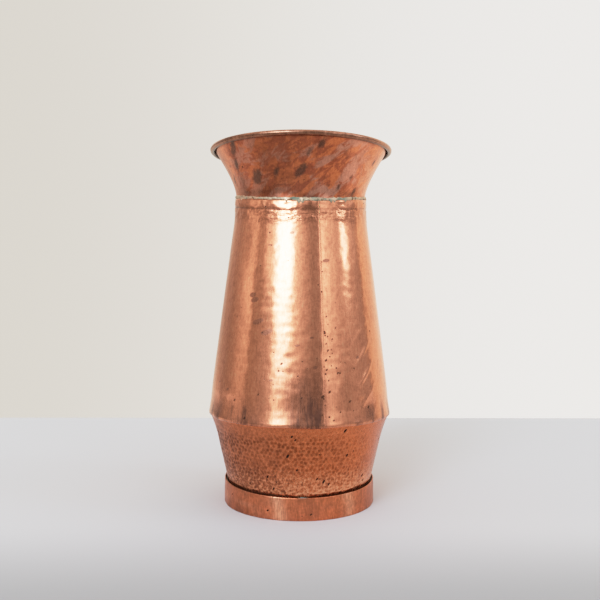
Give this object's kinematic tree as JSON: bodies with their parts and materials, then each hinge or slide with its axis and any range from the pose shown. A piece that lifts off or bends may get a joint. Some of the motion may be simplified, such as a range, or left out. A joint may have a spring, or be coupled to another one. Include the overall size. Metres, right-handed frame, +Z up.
{
  "type": "copper water pot",
  "caption": "Tall round copper water pot: a foot hoop, a hammered bowl, a conical body lapped over it at a sharp shoulder, and a flared mouth with a wired rim.",
  "frame": {"origin": "centre of the round the pot stands on, at the bottom of its bounding box", "axes": "+Z up along the pot's axis, which is its longest extent; -Y is the front, with the body's upright seam just to its +X side"},
  "size_m": [0.233, 0.2334, 0.45],
  "materials": {
    "foot_copper": "plain copper hoop, scratched and lightly tarnished",
    "bowl_copper": "orange copper, closely hammered, darker tarnish low down",
    "body_copper": "pink planished copper with upright brush marks, smudges and small dark pits",
    "mouth_copper": "tarnished copper with brown stains and orange streaks",
    "spelter": "dull brass spelter, left as brazed",
    "green_solder": "lumpy soft solder under pale green verdigris",
    "iron_wire": "dark drawn iron wire"
  },
  "bodies": {
    "root": {"foot_hoop": "foot_copper", "foot_solder": "green_solder", "lower_bowl": "bowl_copper", "shoulder_solder": "spelter", "body_sheet": "body_copper", "body_seam_solder": "spelter", "neck_solder": "green_solder", "mouth_flare": "mouth_copper", "rim_wire": "iron_wire"}
  },
  "joints": []
}
